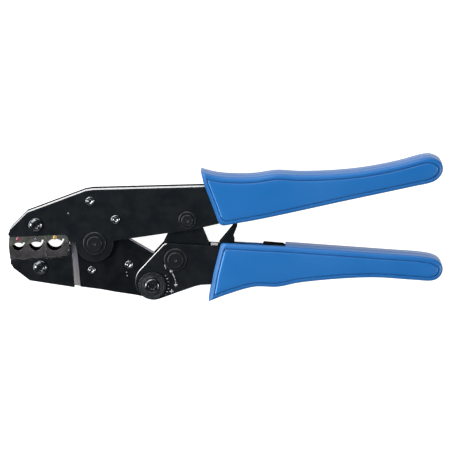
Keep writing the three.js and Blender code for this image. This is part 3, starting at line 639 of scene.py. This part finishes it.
PINS = {
    # name: body, centre, shank, head, back radius, back level, washer, washer radius
    "main_pivot_pin": ("frame", (0.0, 0.0), 3.0, 3.85, 6.2, -8.0, "main_pivot_washer", 5.9),
    "link_pin": ("frame", (47.6, 12.1), 2.2, 3.0, 4.5, BACK_LOW, "link_pin_collar", 4.5),
    "toggle_pin": ("lower_handle", (41.5, -8.6), 3.1, 4.05, 5.9, BACK_LOW,
                   "toggle_pin_collar", 5.9),
}
for name, (body, centre, shank, head, back, low, collar, collar_r) in PINS.items():
    steel = turned_steel(name + "_steel", (0.0024, 0.0034, 0.0044), (0.0044, 0.0056, 0.0068),
                         0.34, 0.45, centre)
    made = turned("turned_" + name, [
        (0, low + 0.35), (0.7, low), (shank * 0.8, low), (shank * 0.85, low + 0.2),
        (shank * 1.1, low + 0.2), (shank * 1.15, low), (back - 0.5, low), (back, low + 0.5),
        (back, -SEAT), (shank, -SEAT), (shank, HEAD_SEAT), (head, HEAD_SEAT),
        (head, HEAD_TOP - 0.3), (head - 0.3, HEAD_TOP), (0.8, HEAD_TOP),
        (0.45, HEAD_TOP - 0.3), (0, HEAD_TOP - 0.4),
    ], centre, steel)
    softened(made, 0.09)
    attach(made, body)
    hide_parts(name)
    hole = shank + 0.3
    ring = turned("turned_" + collar, [
        (hole, SEAT), (collar_r, SEAT), (collar_r, WASHER_TOP - 0.3),
        (collar_r - 0.3, WASHER_TOP), (hole + 0.15, WASHER_TOP), (hole, WASHER_TOP - 0.15),
    ], centre, steel, bored=True)
    softened(ring, 0.07)
    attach(ring, body)
    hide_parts(collar)


# ---- rivets and die screws
# Semi-tubular rivets hold the frame and the jaw plates together: a low ring with a dished
# centre. The dies are held by button-head screws with a hexagon socket, nutted at the back.


def polished_black(name, deep, thin):
    """Blackened steel with a polished head, for rivets and screws."""
    made, tree, shader = new_material(name)
    clouds = use_group(tree, mottle, {"Scale": 420.0, "Sharpness": 0.1})
    rubbed = use_group(tree, worn_edges,
                       {"Width": 0.00025, "Patch scale": 700.0, "Amount": 0.6})
    fine = use_group(tree, grain, {"Scale": 2200.0})
    skin = colour_mix(tree, clouds, deep, thin)
    feed(tree, shader, {
        "Base Color": colour_mix(tree, rubbed, skin, (0.5, 0.51, 0.53)),
        "Metallic": value_range(tree, clouds, 0.85, 1.0),
        "Roughness": value_range(tree, clouds, 0.11, 0.17),
        "Normal": bumped(tree, fine, 0.15, 0.00002),
    })
    return made


rivet_black = polished_black("polished_rivet_steel", (0.08, 0.088, 0.096), (0.14, 0.15, 0.16))
screw_black = polished_black("polished_screw_steel", (0.035, 0.039, 0.044),
                             (0.066, 0.072, 0.079))

RIVETS = {
    # name: body, centre, seat over the middle layer, head radius
    "frame_rivet_fore": ("frame", (-2.1, 22.0), 6.0, 2.3),
    "frame_rivet_mid": ("frame", (10.8, 12.4), 6.0, 2.3),
    "jaw_rivet_fore": ("moving_jaw", (-1.6, -14.5), 3.3, 2.1),
    "jaw_rivet_aft": ("moving_jaw", (17.5, -11.7), 3.3, 2.1),
}
for name, (body, centre, seat, head) in RIVETS.items():
    front = [
        (1.5, seat), (head, seat), (head * 0.99, seat + 0.18), (head * 0.9, seat + 0.38),
        (head * 0.74, seat + 0.5), (head * 0.6, seat + 0.47), (head * 0.47, seat + 0.3),
        (head * 0.3, seat + 0.12), (0, seat + 0.06),
    ]
    back = [(radius, -level) for radius, level in reversed(front)]
    made = turned("pressed_" + name, back + front, centre, rivet_black, 48)
    softened(made, 0.05, 2)
    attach(made, body)
    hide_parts(name)

SCREW_HEAD = 3.8
SOCKET = 1.8
DIE_SCREWS = {
    "upper_die_screw": ("frame", (-30.1, 9.5)),
    "lower_die_screw": ("moving_jaw", (-27.9, -12.7)),
}
for name, (body, centre) in DIE_SCREWS.items():
    made = turned("socket_" + name, [
        (0, -7.3), (2.0, -7.3), (2.05, -7.5), (3.2, -7.5, 6), (3.6, -7.2, 6), (3.6, -6.0, 6),
        (2.0, -6.0), (2.0, 6.0), (SCREW_HEAD, 6.0), (SCREW_HEAD, 6.35),
        (SCREW_HEAD * 0.96, 6.62), (SCREW_HEAD * 0.86, 6.95), (SCREW_HEAD * 0.72, 7.22),
        (SCREW_HEAD * 0.6, 7.38), (SOCKET + 0.2, 7.46), (SOCKET, 7.36, 6),
        (SOCKET * 0.97, 6.5, 6), (0.9, 6.25), (0, 6.15),
    ], centre, screw_black, 72)
    softened(made, 0.06, 2)
    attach(made, body)
    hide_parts(name)


# ---- crimping force adjuster
# A toothed disc on the pin that joins jaw and handle. Turning it sets the crimping force, and
# a socket screw with a low domed head locks it. All parts are turned or pressed, then
# blackened.

WHEEL_CENTRE = (29.5, -22.1)
WHEEL_TEETH = 15
WHEEL_SIDES = WHEEL_TEETH * 10
WHEEL_RADIUS = 7.0
TOOTH_DEPTH = 0.4


def tooth_line(angle):
    """How far the rim of the disc lies inside its full radius, at an angle."""
    share = (angle * WHEEL_TEETH / (2 * math.pi)) % 1
    if share < 0.62:
        return 0.0
    if share < 0.7:
        return -TOOTH_DEPTH * (share - 0.62) / 0.08
    if share < 0.92:
        return -TOOTH_DEPTH
    return -TOOTH_DEPTH * (1 - share) / 0.08


adjuster_black = turned_steel(
    "adjuster_steel", (0.0028, 0.0038, 0.0048), (0.005, 0.0064, 0.0076), 0.36, 0.3,
    WHEEL_CENTRE)
wheel = turned("toothed_wheel", [
    (3.3, 6.0), (WHEEL_RADIUS - 0.1, 6.0, 1), (WHEEL_RADIUS, 6.1, 1),
    (WHEEL_RADIUS, 6.95, 1), (WHEEL_RADIUS - 0.15, 7.1, 1), (6.0, 7.1), (5.85, 6.95),
    (5.2, 6.95), (5.05, 7.1), (4.55, 7.1), (4.45, 7.3), (3.3, 7.3),
], WHEEL_CENTRE, adjuster_black, WHEEL_SIDES, tooth_line, bored=True)
softened(wheel, 0.07, 2)
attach(wheel, "adjuster")
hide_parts("adjuster_wheel")

boss = turned("adjuster_bush", [
    (0, -1.0), (1.6, -1.0), (1.6, 7.4), (2.85, 7.4), (3.0, 7.25), (3.0, -6.0),
    (5.0, -6.0), (5.0, -6.9), (4.6, -7.3), (2.4, -7.3), (2.2, -7.1), (0, -7.1),
][::-1], WHEEL_CENTRE, adjuster_black, 64)
softened(boss, 0.08, 2)
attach(boss, "adjuster")
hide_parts("adjuster_pin")

lock_screw = turned("adjuster_lock_screw", [
    (0, 2.7), (1.1, 2.7), (1.3, 2.9), (1.3, 7.7), (3.8, 7.7), (3.8, 7.9), (3.65, 8.12),
    (3.3, 8.32), (2.8, 8.48), (2.2, 8.58), (1.85, 8.6), (1.7, 8.5, 6), (1.65, 8.0, 6),
    (0.8, 7.95), (0, 7.9),
], WHEEL_CENTRE, screw_black, 72)
softened(lock_screw, 0.06, 2)
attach(lock_screw, "adjuster")
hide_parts("adjuster_screw")


# ---- toggle link, pawl and spring anchor
# Hardened and blackened stampings in the middle layer. The pawl is one piece with the release
# lever, whose fin stands out of the channel of the lower grip.

link_black = blackened_steel(
    "hardened_link", (0.0028, 0.0038, 0.0048), (0.0038, 0.005, 0.006), 0.4, 0.1, 0.08)
eased_edges(nodes["toggle_link"], 0.2, link_black, 2)
eased_edges(nodes["ratchet_pawl"], 0.25, link_black, 2)
eased_edges(nodes["spring_anchor"], 0.3, link_black, 2)


# ---- springs
# Close-wound music wire: a tension spring from its post to the tail of the link opens the
# handles, and a short compression spring behind the pawl keeps it on the ratchet.

spring_wire = ground_steel(
    "spring_wire", (0.42, 0.42, 0.43), (0.68, 0.68, 0.68), 0.3, (1.0, 1.0, 1.0), 0.1, 0.9)


WIRE_SIDES = 10
COIL_STEPS = 20  # in each turn


def wound(name, path, wire, material):
    """Round wire of a given radius along a path of points, closed at both ends."""
    points = []
    faces = []
    side = Vector((0, 0, 1))
    for i, here in enumerate(path):
        ahead = path[min(i + 1, len(path) - 1)] - path[max(i - 1, 0)]
        ahead.normalize()
        side = (side - ahead * side.dot(ahead)).normalized()
        across = ahead.cross(side)
        for k in range(WIRE_SIDES):
            angle = 2 * math.pi * k / WIRE_SIDES
            spot = here + side * wire * math.cos(angle) + across * wire * math.sin(angle)
            points.append(spot)
        ring = range(i * WIRE_SIDES, (i + 1) * WIRE_SIDES)
        if i:
            faces.extend(between(last, ring))
        last = ring
    faces.append(tuple(range(WIRE_SIDES - 1, -1, -1)))
    faces.append(tuple(range(len(points) - WIRE_SIDES, len(points))))
    return new_piece(name, points, faces, material)


def coil_path(start, end, y, radius, turns, hook):
    """The centre line of a coil along X, with a straight hook at each end on its axis."""
    path = [Vector((start, y, MIDDLE))]
    steps = turns * COIL_STEPS
    for i in range(steps + 1):
        share = i / steps
        swell = min(1.0, share * turns * 2, (1 - share) * turns * 2) if hook else 1.0
        angle = 2 * math.pi * turns * share
        along = start + hook + (end - start - 2 * hook) * share
        path.append(Vector((along, y + radius * swell * math.sin(angle),
                            MIDDLE + radius * swell * math.cos(angle))))
    path.append(Vector((end, y, MIDDLE)))
    if not hook:
        path = path[1:-1]
    return path


RETURN_FROM = 27.3
RETURN_TO = 43.7
RETURN_Y = 20.4
RETURN_HOOK = 2.4
opening_spring = wound(
    "opening_spring", coil_path(RETURN_FROM, RETURN_TO, RETURN_Y, 1.75, 10, RETURN_HOOK),
    0.42, spring_wire)
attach(opening_spring, "frame")
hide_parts("return_spring")
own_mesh(opening_spring)

PRESSURE_FROM = 74.9
PRESSURE_TO = 85.9
PRESSURE_Y = -5.5
pressure_spring = wound(
    "pressure_spring", coil_path(PRESSURE_FROM, PRESSURE_TO, PRESSURE_Y, 1.15, 6, 0),
    0.33, spring_wire)
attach(pressure_spring, "lower_handle")
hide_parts("pawl_spring")
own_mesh(pressure_spring)


# ---- grips
# Injection-moulded blue plastic pressed over the tails of the plates. A chamfered flange
# closes the front, and a fine groove runs round both faces just inside the edge.

GRIP_X = 66.0
GRIP_LONG = 112.9
FACE = 7.75  # border of the face, over the middle layer

UPPER_BEND = [
    (0.94, 31.5), (0.977, 34.0), (0.996, 38.2), (0.985, 42.6), (0.945, 44.9), (0.9, 44.6),
    (0.79, 41.2), (0.645, 38.0), (0.499, 36.3), (0.353, 35.8), (0.244, 36.4), (0.15, 34.9),
    (0.06, 34.6), (-0.03, 35.4),
]
LOWER_BEND = [
    (0.02, -26.8), (0.14, -22.9), (0.25, -22.9), (0.353, -20.6), (0.535, -18.6),
    (0.7, -18.0), (0.86, -19.2), (0.955, -19.6), (0.995, -16.3), (0.998, -11.5),
    (0.965, -8.0), (0.89, -6.4), (0.755, -5.3),
]

# Height over the middle layer, and how far the ring lies inside the outline along the sides
# and along the front.
GRIP_RINGS = [
    (0.0, 0.0, 0.0), (0.1, 0.03, 0.03), (6.0, 0.06, 0.06), (6.3, 0.1, 0.25),
    (6.85, 0.2, 0.75), (7.3, 0.5, 1.15), (7.6, 0.95, 1.45), (7.72, 1.4, 1.6),
    (FACE, 1.7, 1.72), (FACE, 2.0, 1.86), (7.66, 2.06, 1.92), (7.3, 2.1, 1.98),
    (7.24, 2.16, 2.06), (7.24, 2.38, 2.36), (7.3, 2.44, 2.42), (7.6, 2.5, 2.6),
    (7.78, 2.62, 2.86), (7.83, 2.95, 3.2), (7.92, 4.0, 4.2),
]
GROOVE_RINGS = (9, 14)  # the rings between which the groove lies
LIP_RINGS = (14, 16)  # the sloping lip inside the groove, with a painted highlight along the front
CORNER_STEPS = 6
CURVE_STEPS = 24  # between two of the given points


def smooth_run(points, step):
    """Points at even steps along a curve that passes through the given points."""
    dense = []
    for i in range(len(points) - 1):
        before = points[max(i - 1, 0)]
        here, ahead = points[i], points[i + 1]
        after = points[min(i + 2, len(points) - 1)]
        for k in range(CURVE_STEPS):
            t = k / CURVE_STEPS
            bend = []
            for axis in (0, 1):
                a = (ahead[axis] - before[axis]) / 2
                b = (after[axis] - here[axis]) / 2
                c = here[axis] - ahead[axis]
                bend.append((2 * c + a + b) * t ** 3 + (-3 * c - 2 * a - b) * t ** 2
                            + a * t + here[axis])
            dense.append(Vector(bend))
    dense.append(Vector(points[-1]))
    return even_steps(dense, step)


def walked(points):
    """The distance walked to each point of a line."""
    total = [0.0]
    for before, here in zip(points, points[1:]):
        total.append(total[-1] + (here - before).length)
    return total


def at_distance(points, total, distance):
    """The point at a distance along a line. The ends go on straight."""
    if distance <= 0:
        ahead = (points[1] - points[0]).normalized()
        return points[0] + ahead * distance
    if distance >= total[-1]:
        ahead = (points[-1] - points[-2]).normalized()
        return points[-1] + ahead * (distance - total[-1])
    i = 0
    while total[i + 1] < distance:
        i += 1
    share = (distance - total[i]) / (total[i + 1] - total[i])
    return points[i].lerp(points[i + 1], share)


def even_steps(points, step):
    """The same line with its points at even steps."""
    total = walked(points)
    count = max(2, round(total[-1] / step))
    return [at_distance(points, total, total[-1] * i / count) for i in range(count + 1)]


TOP_SOFTER = 0.28  # how much wider the rounding is along the edges that face +Y


def moved_in(points, depth):
    """A line moved to its left, which is the inside of an outline that runs anticlockwise."""
    moved = []
    for i, here in enumerate(points):
        ahead = points[min(i + 1, len(points) - 1)] - points[max(i - 1, 0)]
        ahead.normalize()
        wider = 1 + TOP_SOFTER * max(0.0, -ahead.x)
        moved.append(here + Vector((-ahead.y, ahead.x)) * depth * wider)
    return moved


def grip_ring(runs, depths, corner):
    """One ring of a grip: the side run and the front run moved in, met at their corners,
    with each corner rounded. Every ring has the same number of points."""
    lines = [moved_in(run, depth) for run, depth in zip(runs, depths)]
    meets = []
    for last, first in ((lines[1], lines[0]), (lines[0], lines[1])):
        a, b = last[-1], first[0]
        da = (last[-1] - last[-2]).normalized()
        db = (first[1] - first[0]).normalized()
        cross = da.x * db.y - da.y * db.x
        gap = b - a
        meets.append(a + da * ((gap.x * db.y - gap.y * db.x) / cross))
    ring = []
    for k in (0, 1):
        line = lines[k]
        start, end = meets[k], meets[1 - k]
        total = walked(line)
        ahead = (line[1] - line[0]).normalized()
        behind = (line[-1] - line[-2]).normalized()
        low = (start - line[0]).dot(ahead) + corner[k]
        high = total[-1] + (end - line[-1]).dot(behind) - corner[1 - k]
        count = len(line) - 1
        run = [at_distance(line, total, low + (high - low) * i / count)
               for i in range(count + 1)]
        ring.append(run)
    joined = []
    for k in (0, 1):
        joined.extend(ring[k])
        a, c, b = ring[k][-1], meets[1 - k], ring[1 - k][0]
        for i in range(1, CORNER_STEPS + 1):
            t = i / (CORNER_STEPS + 1)
            joined.append(a * (1 - t) ** 2 + c * 2 * t * (1 - t) + b * t ** 2)
    return joined


def moulded(name, runs, corner, material):
    """A grip built up ring by ring from the back face to the front face."""
    levels = [(-z, side, front) for z, side, front in reversed(GRIP_RINGS[1:])]
    levels += GRIP_RINGS
    rings = [(z, grip_ring(runs, (side, front), corner)) for z, side, front in levels]
    points = []
    for z, ring in rings:
        points.extend((spot.x, spot.y, MIDDLE + z) for spot in ring)
    size = len(rings[0][1])
    faces = []
    for i in range(len(rings) - 1):
        faces.extend(between(range(i * size, (i + 1) * size),
                             range((i + 1) * size, (i + 2) * size)))
    faces.append(tuple(range(size - 1, -1, -1)))
    faces.append(tuple(range(len(points) - size, len(points))))
    piece = new_piece(name, points, faces, material)
    piece.data.materials.append(groove_shade_blue)
    piece.data.materials.append(lip_highlight_blue)
    front_from = len(runs[0]) + CORNER_STEPS
    front_to = front_from + len(runs[1])
    middle = len(GRIP_RINGS) - 1
    # Groove faces take a darker blue, as painted shade with some dust in the groove.
    for face in piece.data.polygons[:-2]:
        band = face.index // size
        ring = band - middle if band >= middle else middle - 1 - band
        # The lip along the front takes the paler blue of a painted highlight.
        if LIP_RINGS[0] <= ring < LIP_RINGS[1] and front_from <= face.index % size < front_to:
            face.material_index = 2
        elif GROOVE_RINGS[0] <= ring <= GROOVE_RINGS[1]:
            face.material_index = 1
    return piece


def prism(outline, low, high, base=0):
    """Points and faces of a straight-sided solid over an outline, numbered from base."""
    count = len(outline)
    points = [(x, y, MIDDLE + level) for level in (low, high) for x, y in outline]
    under = range(base, base + count)
    over = range(base + count, base + 2 * count)
    return points, [tuple(reversed(under)), tuple(over)] + between(under, over)


def cut_out(piece, outline, low, high):
    """Cuts a straight-sided room of the given outline out of a piece."""
    points, faces = prism(outline, low, high)
    cutter = new_piece("cutter", points, faces, piece.data.materials[0])
    cut = piece.modifiers.new("cut", "BOOLEAN")
    cut.operation = "DIFFERENCE"
    cut.solver = "EXACT"
    cut.object = cutter
    graph = bpy.context.evaluated_depsgraph_get()
    done = bpy.data.meshes.new_from_object(piece.evaluated_get(graph))
    piece.modifiers.clear()
    piece.data = done
    bpy.data.objects.remove(cutter)


def moulded_blue(name, deep, light, polished):
    """Blue plastic with a faint spark-eroded texture, paler where hands have polished it."""
    made, tree, shader = new_material(name)
    clouds = use_group(tree, mottle, {"Scale": 28.0, "Sharpness": 0.02})
    fine = use_group(tree, grain, {"Scale": 1800.0})
    rubbed = use_group(tree, worn_edges,
                       {"Width": 0.0006, "Patch scale": 180.0, "Amount": 0.4})
    base = colour_mix(tree, clouds, deep, light)
    feed(tree, shader, {
        "Base Color": colour_mix(tree, rubbed, base, polished),
        "Roughness": value_range(tree, clouds, 0.36, 0.46),
        "Normal": bumped(tree, fine, 0.25, 0.00003),
    })
    shader.inputs["Specular IOR Level"].default_value = 0.36
    return made


grip_blue = moulded_blue("moulded_blue", (0.001, 0.066, 0.214), (0.0025, 0.073, 0.228),
                         (0.05, 0.2, 0.45))
# A darker blue for the groove: painted shade, with some dust.
groove_shade_blue = moulded_blue("groove_shade_blue", (0.002, 0.045, 0.17), (0.004, 0.055, 0.2),
                           (0.02, 0.12, 0.32))
# A paler blue for the lip along the front: a painted highlight.
lip_highlight_blue = moulded_blue("lip_highlight_blue", (0.02, 0.17, 0.44), (0.03, 0.19, 0.47),
                        (0.08, 0.28, 0.56))
GRIP_STEP = 1.5


def on_grip(share, y):
    return (GRIP_X + share * GRIP_LONG, y)


upper_side = smooth_run(
    [(64.3, 8.7), (74.5, 10.6), (86.9, 12.9), (105.4, 16.9), (124.0, 21.05), (146.0, 25.8),
     on_grip(0.86, 29.5)]
    + [on_grip(*spot) for spot in UPPER_BEND] + [(54.4, 37.6)], GRIP_STEP)
upper_front = even_steps([Vector(spot) for spot in (
    (54.4, 37.6), (55.9, 31.4), (60.4, 19.7), (64.3, 8.7))], GRIP_STEP)
upper = moulded("upper_grip_moulding", (upper_side, upper_front), (3.2, 0.8), grip_blue)
# The room for the frame's tail, between the two face walls.
cut_out(upper, [(50.0, 2.0), (64.0, 9.8), (68.2, 12.9), (130.3, 26.4), (130.3, 33.4),
                (76.0, 27.3), (58.0, 29.3), (50.0, 29.1)], -6.0, 6.0)
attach(upper, "frame")
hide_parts("upper_grip")

lower_side = smooth_run(
    [(58.4, -30.7)] + [on_grip(*spot) for spot in LOWER_BEND]
    + [(101.8, -1.7), (90.0, -1.03), (78.0, -0.36), (64.97, 0.38)], GRIP_STEP)
lower_front = even_steps([Vector(spot) for spot in (
    (64.97, 0.38), (61.2, -14.8), (58.4, -30.7))], GRIP_STEP)
lower = moulded("lower_grip_moulding", (lower_side, lower_front), (0.6, 1.6), grip_blue)
# The room for the handle's tail, and the channel in the upper side for the pawl's fin.
cut_out(lower, [(50.0, -24.0), (61.0, -21.9), (78.0, -18.7), (130.3, -15.9), (130.3, -8.1),
                (98.2, -6.1), (98.2, 6.0), (50.0, 6.0)], -6.0, 6.0)
cut_out(lower, [(68.0, -1.6), (98.2, -3.0), (98.2, 6.0), (68.0, 6.0)], -9.0, 0.0)
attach(lower, "lower_handle")
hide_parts("lower_grip")
for piece in (upper, lower):
    piece.data.set_sharp_from_angle(angle=math.radians(50))


# ---- stamped marks
# The double arrow beside the adjuster, its plus and minus signs and its ticks are stamped into
# the plate and filled with pale paint. A dimple and two punch dots are left from making the
# plates; each is drawn as a small disc of the pale paint, a painted highlight in its hollow.

paint, tree, shader = new_material("filling_paint")
flaked = use_group(tree, mottle, {"Scale": 1500.0, "Sharpness": 0.12})
feed(tree, shader, {
    "Base Color": colour_mix(tree, flaked, (0.03, 0.034, 0.038), (0.4, 0.4, 0.4)),
    "Roughness": value_range(tree, flaked, 0.5, 0.7),
})

MARK_LEVEL = 5.73
MARK_SUNK = 5.6
ARROW_RADIUS = 12.2


def stamped(name, strips):
    """Thin flat strips, each a list of outline points, filled flush with the plate."""
    points = []
    faces = []
    for strip in strips:
        more_points, more_faces = prism(strip, MARK_SUNK, MARK_LEVEL, len(points))
        points += more_points
        faces += more_faces
    return new_piece(name, points, faces, paint)


def around_wheel(degrees, radius):
    angle = math.radians(degrees)
    return (WHEEL_CENTRE[0] + radius * math.cos(angle),
            WHEEL_CENTRE[1] + radius * math.sin(angle))


def stroke(x, y, dx, dy, width):
    """The outline of a straight stroke from a point, with the given run and width."""
    long = math.hypot(dx, dy)
    sx, sy = -dy / long * width / 2, dx / long * width / 2
    return [(x - sx, y - sy), (x + dx - sx, y + dy - sy), (x + dx + sx, y + dy + sy),
            (x + sx, y + sy)]


ARROW_HALF = 0.2
ARROW_FROM = 4  # degrees round the wheel
ARROW_TO = 34
ARROW_STEPS = 12
TICK_RADIUS = 8.1
TICK_LONG = 0.85

strips = []
for step in range(ARROW_STEPS):
    angle = ARROW_FROM + (ARROW_TO - ARROW_FROM) * step / ARROW_STEPS
    ahead = ARROW_FROM + (ARROW_TO - ARROW_FROM) * (step + 1) / ARROW_STEPS
    strips.append([around_wheel(angle, ARROW_RADIUS - ARROW_HALF),
                   around_wheel(angle, ARROW_RADIUS + ARROW_HALF),
                   around_wheel(ahead, ARROW_RADIUS + ARROW_HALF),
                   around_wheel(ahead, ARROW_RADIUS - ARROW_HALF)])
# The two arrow heads, a minus and a plus, then the ticks.
strips.append([around_wheel(-4, ARROW_RADIUS), around_wheel(3, ARROW_RADIUS + 1.1),
               around_wheel(3, ARROW_RADIUS - 1.1)])
strips.append([around_wheel(35, ARROW_RADIUS - 1.0), around_wheel(35, ARROW_RADIUS + 1.0),
               around_wheel(42, ARROW_RADIUS)])
strips.append(stroke(36.1, -11.3, 0.4, -2.2, 0.5))
strips.append(stroke(38.5, -25.4, 2.0, 0.2, 0.45))
strips.append(stroke(39.4, -26.3, 0.2, 2.0, 0.45))
for degrees in range(-36, 37, 12):
    out = around_wheel(degrees, TICK_RADIUS)
    along = math.radians(degrees)
    strips.append(stroke(*out, TICK_LONG * math.cos(along), TICK_LONG * math.sin(along), 0.32))
marks = stamped("adjuster_marks", strips)
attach(marks, "lower_handle")

PUNCHED = {
    # name: body, centre, bottom and top over the middle layer, radius, radius of the flat
    "plate_dimple": ("frame", (-13.3, 15.5), 5.3, 5.73, 0.42, 0.3),
    "punch_dot_1": ("moving_jaw", (16.3, -15.8), 2.7, 3.04, 0.26, 0.18),
    "punch_dot_2": ("moving_jaw", (16.6, -17.6), 2.7, 3.04, 0.26, 0.18),
}
# Painted highlights: each dimple or punch dot is a small disc of the pale paint.
for name, (body, centre, low, top, radius, flat) in PUNCHED.items():
    dot = turned(name, [(0, low), (radius, low), (radius, top - 0.02), (flat, top), (0, top)],
                 centre, paint, 24)
    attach(dot, body)
